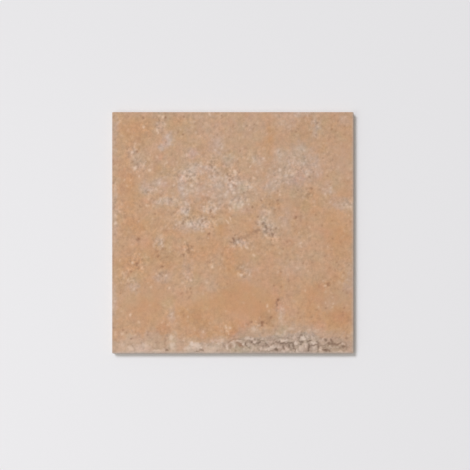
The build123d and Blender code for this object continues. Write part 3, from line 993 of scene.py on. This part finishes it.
wornClay = {
    "orange": ink(192, 147, 109),
    "tan": ink(190, 155, 126),
    "salt": ink(190, 165, 149),
    "crustPale": ink(198, 175, 158),
    "crustDark": ink(158, 137, 121),
    "lump": ink(222, 202, 188),
    "grain": ink(220, 188, 160),
    "pit": ink(142, 100, 72),
    "pitGrey": ink(110, 91, 77),
    "ring": ink(150, 114, 90),
    # grey of the band along the arris: rubbed print, and painted shade on the right and bottom edges
    "rimShadeAndWear": ink(164, 159, 158),
    "body": ink(205, 188, 167),
    "kilnWash": ink(222, 213, 200),
    "warmth": (0.9, 0.35),  # what a warm patch adds, and how orange the clay is without one
    "cloud": 0.15,  # how far broad clouds and smaller blotches move the clay towards tan or orange
    "blotch": 0.14,
    "veil": 0.08,  # and how far the salt is uneven
    "unrest": 0.4,  # share of blotches and veil that is left where the grain is smooth
    "blush": (-0.7, 0.6),  # in steps of pink
    "shadeStep": 0.085,  # how much one step of shade changes the light that comes back
    "pinkStep": (0.026, -0.016),  # the same for red and green, at one step of pink
    "grainPower": 1.35,
    "speckle": 1.66,  # contrast of the coarse grain
    "curls": 0.08,  # how far the thin pale curls stand out of it
    "curlWidth": (0.01, 0.1),
    "curlLight": (1.0, -0.25),
    "sandRange": (0.25, 0.75),
    "sandLight": (0.95, 1.05),  # darkest and lightest sand
    "pitAmount": 0.9,
    "grainAmount": 0.9,
    # how strongly that band shows, painted shade and rubbed print together
    "rimShadeAndWearAmount": 0.34,
    "dustRange": (0.42, 0.62),
    "washHeight": (0.02, 0.2),  # millimetres above the rib tops over which the kiln wash ends
    "printEdge": 7.9,  # height in millimetres at which the printed face ends on the land
    "printRagged": 0.8,
    "printFade": 0.15,
    "roughness": (0.62, 0.82),
    "specular": 0.3,
    "bumpStrength": 0.6,
    "bumpHeight": 0.07,  # millimetres
}


def clayBase(tree, where, unrest):
    # clay from pale tan to orange, under its veil of salt and the crust of the bottom edge
    look = wornClay
    glowGain, usualWarmth = look["warmth"]
    cloud = spread(tree, noiseAt(tree, where, "cloud"), *noiseRange, -look["cloud"], look["cloud"])
    blotch = spread(tree, noiseAt(tree, where, "blotch"), *noiseRange, -look["blotch"], look["blotch"])
    warmth = maths(tree, "MULTIPLY_ADD", mask(tree, "glow"), glowGain, usualWarmth)
    warmth = maths(tree, "ADD", warmth, cloud)
    warmth = maths(tree, "ADD", warmth, maths(tree, "MULTIPLY", blotch, unrest), clamp=True)
    colour = mixColour(tree, warmth, look["tan"], look["orange"])
    veil = spread(tree, noiseAt(tree, where, "veil"), *noiseRange, -look["veil"], look["veil"])
    salt = maths(tree, "ADD", mask(tree, "bloom"), maths(tree, "MULTIPLY", veil, unrest), clamp=True)
    colour = mixColour(tree, salt, colour, look["salt"])
    crustTint = mixColour(tree, mask(tree, "crustDark"), look["crustPale"], look["crustDark"])
    return mixColour(tree, mask(tree, "crust"), colour, crustTint)


def pinkTint(tree, where):
    # pinker and greener clouds
    blush = spread(tree, noiseAt(tree, where, "blush"), *noiseRange, *wornClay["blush"])
    pinkness = maths(tree, "ADD", signedMask(tree, "pink", 1.0, 0.0), blush)
    redStep, greenStep = wornClay["pinkStep"]
    return addNode(tree, "ShaderNodeCombineColor", {
        "Red": maths(tree, "MULTIPLY_ADD", pinkness, redStep, 1.0),
        "Green": maths(tree, "MULTIPLY_ADD", pinkness, greenStep, 1.0),
        "Blue": 1.0,
    }).outputs["Color"]


def grainLight(tree, where, grain, fine):
    # broad light and dark, the coarse grain with its curls, and the sand; it hardly changes the hue
    look = wornClay
    broad = signedMask(tree, "shade", look["shadeStep"], 1.0)
    coarse = maths(tree, "POWER", grain, look["grainPower"])
    crumbs = maths(tree, "SUBTRACT", noiseAt(tree, where, "crumbs"), 0.5)
    crumbs = maths(tree, "MULTIPLY", maths(tree, "MULTIPLY", crumbs, coarse), look["speckle"])
    curl = maths(tree, "ABSOLUTE", maths(tree, "SUBTRACT", noiseAt(tree, where, "curls"), 0.5))
    curl = spread(tree, curl, *look["curlWidth"], *look["curlLight"])
    curl = maths(tree, "MULTIPLY", maths(tree, "MULTIPLY", curl, coarse), look["curls"])
    crumbs = maths(tree, "ADD", crumbs, curl)
    return maths(tree, "MULTIPLY", maths(tree, "MULTIPLY", broad, fine), maths(tree, "ADD", crumbs, 1.0))


def specksOver(tree, colour):
    # brown rings, dark pits, light grains, and the grey band along the arris: rubbed print, with painted
    # shade on the right and bottom edges
    look = wornClay
    covered = maths(tree, "MAXIMUM", mask(tree, "bloom"), mask(tree, "crust"))
    pitTint = mixColour(tree, covered, look["pit"], look["pitGrey"])
    grainTint = mixColour(tree, covered, look["grain"], look["lump"])
    for name, amount, tint in (
        ("brown", 1.0, look["ring"]), ("hollow", look["pitAmount"], pitTint),
        ("raised", look["grainAmount"], grainTint), ("rimShadeAndWear", look["rimShadeAndWearAmount"], look["rimShadeAndWear"]),
    ):
        colour = mixColour(tree, maths(tree, "MULTIPLY", mask(tree, name), amount), colour, tint)
    return colour


def bareBody(tree, where, height, fine):
    # the body on the edges and the back, with kiln wash caught on the rib tops
    look = wornClay
    low, high = look["washHeight"]
    dust = spread(tree, noiseAt(tree, where, "dust"), *look["dustRange"])
    washed = maths(tree, "MULTIPLY", spread(tree, height, low * mm, high * mm, 1.0, 0.0), dust)
    return mixColour(tree, 1.0, mixColour(tree, washed, look["body"], look["kilnWash"]), fine, "MULTIPLY")


def wornClayMaterial():
    material, tree, shader = newMaterial("worn_clay_face")
    look = wornClay
    where = addNode(tree, "ShaderNodeTexCoord", {}).outputs["Object"]
    height = addNode(tree, "ShaderNodeSeparateXYZ", {"Vector": where}).outputs["Z"]
    grain = mask(tree, "grainy")
    unrest = maths(tree, "ADD", grain, look["unrest"], clamp=True)
    sand = noiseAt(tree, where, "sand")
    fine = spread(tree, sand, *look["sandRange"], *look["sandLight"])

    colour = clayBase(tree, where, unrest)
    colour = mixColour(tree, 1.0, colour, pinkTint(tree, where), "MULTIPLY")
    colour = mixColour(tree, 1.0, colour, grainLight(tree, where, grain, fine), "MULTIPLY")
    colour = specksOver(tree, colour)

    # the print ends on the land in a ragged line
    reach, soft = look["printRagged"] * mm, look["printFade"] * mm
    ragged = maths(tree, "MULTIPLY_ADD", noiseAt(tree, where, "printEnd"), 2 * reach, -reach)
    printEdge = look["printEdge"] * mm
    printed = spread(tree, maths(tree, "ADD", height, ragged), printEdge - soft, printEdge + soft)
    colour = mixColour(tree, printed, bareBody(tree, where, height, fine), colour)
    tree.links.new(colour, shader.inputs["Base Color"])

    tree.links.new(spread(tree, sand, *noiseRange, *look["roughness"]), shader.inputs["Roughness"])
    shader.inputs["Specular IOR Level"].default_value = look["specular"]
    bump = addNode(tree, "ShaderNodeBump", {
        "Strength": look["bumpStrength"],
        "Distance": look["bumpHeight"] * mm,
        "Height": noiseAt(tree, where, "tooth"),
    })
    tree.links.new(bump.outputs["Normal"], shader.inputs["Normal"])
    return material


tile.data.materials.append(wornClayMaterial())
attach(tile, "root")
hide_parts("tile")
print("tile finished")

studio = {
    "floorColour": ink(232, 231, 233),
    "floorRadius": 6.0,
    "floorSegments": 96,
    "skyLight": 0.4,  # on the object
    "skySeen": 0.85,  # behind it
    "skyTint": (1.04, 1.0, 0.93),
    "sunTint": (0.968, 1.0, 1.056),
    # each lamp's share of the floor's light, degrees above the floor, degrees round from +X, metres away
    "sun": {"share": 0.5, "height": 53.6, "from": 132.0, "away": 3.0, "spread": 20.0},
    "sideLamp": {"share": 0.1, "height": 54.0, "from": 201.0, "away": 1.3, "size": 0.6},
}


def buildFloor():
    mesh = bpy.data.meshes.new("studio_floor")
    bm = bmesh.new()
    bmesh.ops.create_circle(bm, cap_ends=True, segments=studio["floorSegments"], radius=studio["floorRadius"])
    bm.to_mesh(mesh)
    bm.free()
    floor = addObject("studio_floor", mesh)
    material, _, shader = newMaterial("pale_floor")
    shader.inputs["Base Color"].default_value = studio["floorColour"]
    shader.inputs["Roughness"].default_value = 1.0
    shader.inputs["Specular IOR Level"].default_value = 0.0
    mesh.materials.append(material)


def lightSky():
    # the sky is plain where the camera sees it, and dimmer and tinted where it lights the tile
    world = bpy.data.worlds.new("pale_studio")
    bpy.context.scene.world = world
    world.use_nodes = True
    tree = world.node_tree
    rays = addNode(tree, "ShaderNodeLightPath", {})
    seen = maths(tree, "MAXIMUM", rays.outputs["Is Camera Ray"], rays.outputs["Is Glossy Ray"])
    seen = maths(tree, "MAXIMUM", seen, rays.outputs["Is Transmission Ray"])
    tint = mixColour(tree, seen, (*studio["skyTint"], 1), (1, 1, 1, 1))
    level = {"Value": seen, "To Min": studio["skyLight"], "To Max": studio["skySeen"]}
    strength = addNode(tree, "ShaderNodeMapRange", level).outputs["Result"]
    sky = tree.nodes["Background"]
    tree.links.new(tint, sky.inputs["Color"])
    tree.links.new(strength, sky.inputs["Strength"])


def lightLamps():
    # a wide sun from the upper left, and a small lamp that lifts the lower left a little
    for name, kind in (("sun", "SUN"), ("sideLamp", "AREA")):
        setting = studio[name]
        height, around = math.radians(setting["height"]), math.radians(setting["from"])
        onFloor = setting["share"] * math.pi / math.sin(height)
        lamp = bpy.data.lights.new(name, kind)
        if kind == "SUN":
            lamp.angle = math.radians(setting["spread"])
            lamp.color = studio["sunTint"]
            lamp.energy = onFloor
        else:
            lamp.shape = "DISK"
            lamp.size = setting["size"]
            lamp.energy = onFloor * math.pi * setting["away"] ** 2
        holder = addObject(name, lamp)
        across = math.cos(height)
        towards = Vector((math.cos(around) * across, math.sin(around) * across, math.sin(height)))
        holder.location = towards * setting["away"]
        holder.rotation_euler = (-towards).to_track_quat("-Z", "Y").to_euler()


overhead = {"lens": 100.0, "farthest": 50}  # lens in millimetres, farthest thing seen in metres


def placeCamera():
    # straight above the point of the face that the photograph's middle pixel shows
    camera = bpy.data.cameras.new("overhead_camera")
    camera.lens = overhead["lens"]
    camera.clip_end = overhead["farthest"]
    middle = photo["pixels"] / 2
    x, y = onFace(middle, middle)
    away = photo["pixels"] * pixel * overhead["lens"] / camera.sensor_width
    holder = addObject("overhead_camera", camera)
    holder.location = (x * mm, y * mm, (tileThick + away) * mm)
    bpy.context.scene.camera = holder


buildFloor()
lightSky()
lightLamps()
placeCamera()
bpy.context.scene.view_settings.view_transform = "Standard"
print("studio ready")
